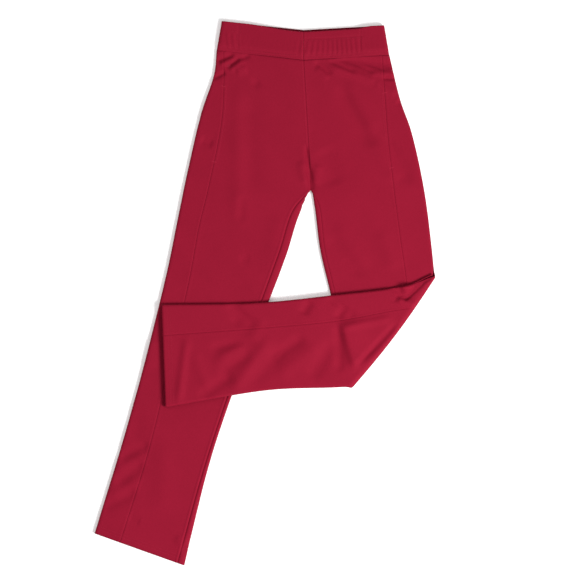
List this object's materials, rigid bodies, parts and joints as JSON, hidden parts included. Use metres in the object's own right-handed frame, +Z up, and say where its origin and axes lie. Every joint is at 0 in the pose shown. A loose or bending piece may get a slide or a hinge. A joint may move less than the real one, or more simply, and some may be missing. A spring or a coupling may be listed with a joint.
{
  "type": "warm-up trousers",
  "caption": "Red knit pull-on warm-up trousers for ice sports, laid flat with one leg folded at the knee; the folded leg hinges open.",
  "frame": {"origin": "centre of the laid-out garment's footprint, on the surface it lies on", "axes": "+Y along the garment towards the waist, +X towards the wearer's left leg, +Z up, away from the surface"},
  "size_m": [0.6778, 1.0886, 0.0204],
  "materials": {
    "knit_shell": "smooth matt double knit with a soft sheen, crimson",
    "knit_facing": "brushed inner side of the same knit, crimson",
    "pocket_lining": "thin plain knit lining, crimson",
    "thread": "spun polyester sewing thread, crimson",
    "elastic": "woven elastic, off-white",
    "label": "blank satin label, white"
  },
  "bodies": {
    "trunk_and_thighs": {"front_panel_right": "knit_shell", "back_panel_right": "knit_shell", "side_panel_right": "knit_shell", "front_panel_left_upper": "knit_shell", "back_panel_left_upper": "knit_shell", "side_panel_left_upper": "knit_shell", "waistband_front_right": "knit_shell", "waistband_front_left": "knit_shell", "waistband_back": "knit_shell", "waistband_facing_front": "knit_facing", "waistband_facing_back": "knit_facing", "waist_elastic": "elastic", "hem_facing_right": "knit_facing", "hem_stitching_right_1": "thread", "hem_stitching_right_2": "thread", "pocket_bag_front_right": "pocket_lining", "pocket_bag_back_right": "pocket_lining", "pocket_bag_front_left": "pocket_lining", "pocket_bag_back_left": "pocket_lining", "pocket_tack_upper_right": "thread", "pocket_tack_lower_right": "thread", "pocket_tack_upper_left": "thread", "pocket_tack_lower_left": "thread", "waistband_stitching_1": "thread", "waistband_stitching_2": "thread", "casing_stitching": "thread", "care_label": "label"},
    "left_lower_leg": {"front_panel_left_lower": "knit_shell", "back_panel_left_lower": "knit_shell", "side_panel_left_lower": "knit_shell", "hem_facing_left": "knit_facing", "hem_stitching_left_1": "thread", "hem_stitching_left_2": "thread"}
  },
  "joints": [
    {"name": "left_leg_fold", "type": "hinge", "parent": "trunk_and_thighs", "child": "left_lower_leg", "pos_m": [0.34028, 0.0405, 0.00985], "axis": [0.6013, 0.799, 0], "range_deg": [0, 179.9]}
  ]
}
